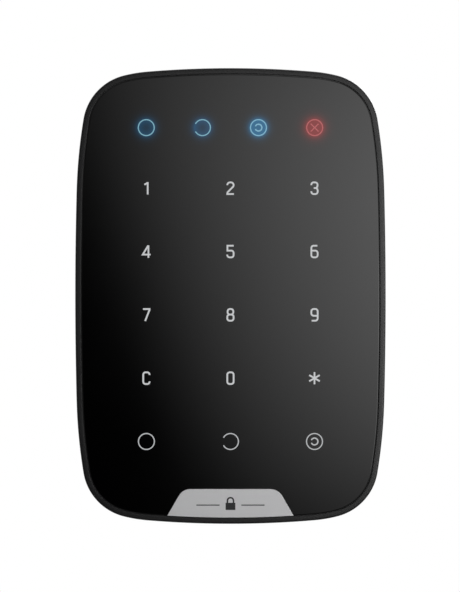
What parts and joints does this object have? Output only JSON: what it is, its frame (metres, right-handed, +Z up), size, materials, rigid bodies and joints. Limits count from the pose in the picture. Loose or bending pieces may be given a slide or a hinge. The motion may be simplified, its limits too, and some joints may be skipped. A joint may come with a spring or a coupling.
{
  "type": "alarm keypad panel",
  "caption": "Slim wall-mounted alarm keypad: gloss touch panel with lit legends in a rounded casing that slides onto a hooked wall plate, with a battery bay, tamper plunger and power button.",
  "frame": {"origin": "middle of the keypad's outline on the wall side of the mounting plate", "axes": "+Z up the wall, +Y into the wall, so the touch panel faces -Y, +X to the right seen from the front"},
  "size_m": [0.1022, 0.014, 0.15],
  "materials": {
    "casing": "fine satin",
    "rear_plastic": "fine spark-eroded texture",
    "plate_plastic": "fine spark-eroded texture",
    "gloss_panel": "polished gloss black with lit white, blue and red legends",
    "badge_metal": "brushed satin",
    "label_paper": "matt paper, blank",
    "screw_steel": "dark zinc",
    "adhesive": "matt foam tape",
    "sensor_film": "clear satin film",
    "light_guide": "frosted clear",
    "circuit_board": "green solder mask",
    "led_resin": "translucent resin",
    "chip_plastic": "moulded epoxy",
    "inner_plastic": "plain moulded",
    "plated_metal": "tin plated",
    "ribbon_film": "amber film",
    "connector_plastic": "ivory moulded",
    "red_lead": "wire insulation",
    "black_lead": "wire insulation",
    "cell_jacket": "printed film jacket, plain",
    "button_plastic": "plain moulded"
  },
  "bodies": {
    "wall_bracket": {"mounting_plate": "plate_plastic"},
    "keypad": {"front_frame": "casing", "rear_cover": "rear_plastic", "rear_label": "label_paper", "case_screw_1": "screw_steel", "case_screw_2": "screw_steel", "case_screw_3": "screw_steel", "case_screw_4": "screw_steel", "case_screw_5": "screw_steel", "case_screw_6": "screw_steel", "touch_panel": "gloss_panel", "badge_plate": "badge_metal", "panel_adhesive": "adhesive", "touch_sensor_film": "sensor_film", "light_guide": "light_guide", "main_board": "circuit_board", "indicator_led_1": "led_resin", "indicator_led_2": "led_resin", "indicator_led_3": "led_resin", "indicator_led_4": "led_resin", "backlight_led_1": "led_resin", "backlight_led_2": "led_resin", "backlight_led_3": "led_resin", "backlight_led_4": "led_resin", "processor_chip": "chip_plastic", "radio_shield": "plated_metal", "buzzer": "chip_plastic", "left_antenna": "plated_metal", "right_antenna": "plated_metal", "capacitor": "plated_metal", "crystal": "plated_metal", "tamper_switch": "inner_plastic", "tamper_spring": "plated_metal", "power_switch": "inner_plastic", "sensor_ribbon": "ribbon_film", "ribbon_connector": "connector_plastic", "red_battery_lead": "red_lead", "black_battery_lead": "black_lead", "battery_tray": "inner_plastic", "battery_1": "cell_jacket", "battery_2": "cell_jacket", "battery_3": "cell_jacket", "battery_4": "cell_jacket", "battery_spring_1": "plated_metal", "battery_spring_2": "plated_metal", "battery_spring_3": "plated_metal", "battery_spring_4": "plated_metal", "battery_contact_1": "plated_metal", "battery_contact_2": "plated_metal", "battery_contact_3": "plated_metal", "battery_contact_4": "plated_metal", "battery_cover": "rear_plastic", "battery_cover_screw_1": "screw_steel", "battery_cover_screw_2": "screw_steel"},
    "plunger": {"tamper_plunger": "button_plastic"},
    "button": {"power_button": "button_plastic"},
    "lock": {"locking_screw": "screw_steel"}
  },
  "joints": [
    {"name": "keypad_release_slide", "type": "slide", "parent": "wall_bracket", "child": "keypad", "axis": [0, 0, 1], "range_m": [0, 0.006]},
    {"name": "tamper_plunger_slide", "type": "slide", "parent": "keypad", "child": "plunger", "axis": [0, 1, 0], "range_m": [0, 0.0009]},
    {"name": "power_button_press", "type": "slide", "parent": "keypad", "child": "button", "axis": [0, -1, 0], "range_m": [0, 0.0006], "stiffness_N_per_m": 800, "springref_m": -0.0005},
    {"name": "locking_screw_backout", "type": "slide", "parent": "keypad", "child": "lock", "axis": [0, 0, -1], "range_m": [0, 0.006]}
  ],
  "couplings": [
    {"joint": "tamper_plunger_slide", "follows": "keypad_release_slide", "ratio": 0.15},
    {"joint": "locking_screw_backout", "follows": "keypad_release_slide", "ratio": 1}
  ]
}
